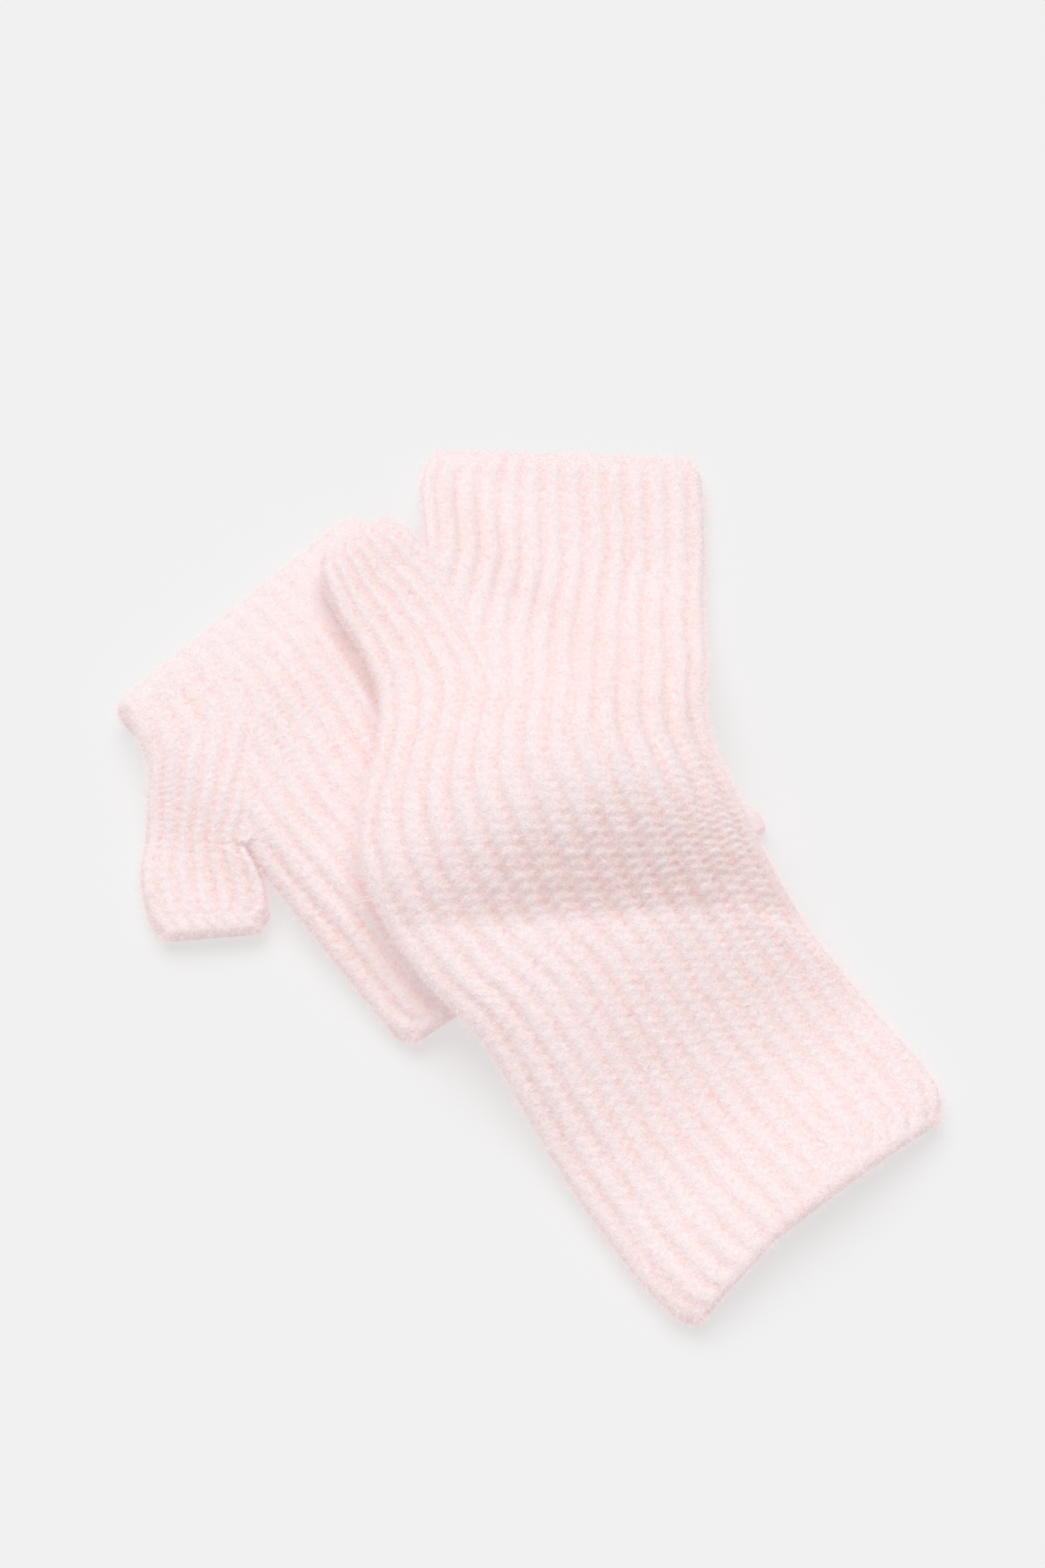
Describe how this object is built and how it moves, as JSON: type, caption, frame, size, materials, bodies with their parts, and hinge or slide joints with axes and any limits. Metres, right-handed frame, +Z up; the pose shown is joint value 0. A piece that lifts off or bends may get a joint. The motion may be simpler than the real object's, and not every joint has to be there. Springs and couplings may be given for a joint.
{
  "type": "pair of fingerless mittens",
  "caption": "Long fingerless rib-knit mittens with short open thumbs, laid flat and crossed, the lower one folded over its own sleeve.",
  "frame": {"origin": "on the table, under the middle of the pair's bounding box", "axes": "Z is up; Y points away from the viewer, along the upper mitten's hand; X is to the viewer's right"},
  "size_m": [0.2351, 0.285, 0.0506],
  "materials": {
    "brushed_yarn": "brushed wool and mohair blend rib knit, matt, with a soft raised nap"
  },
  "bodies": {
    "root": {"upper_body": "brushed_yarn", "upper_thumb": "brushed_yarn", "lower_body": "brushed_yarn", "lower_thumb": "brushed_yarn"}
  },
  "joints": []
}
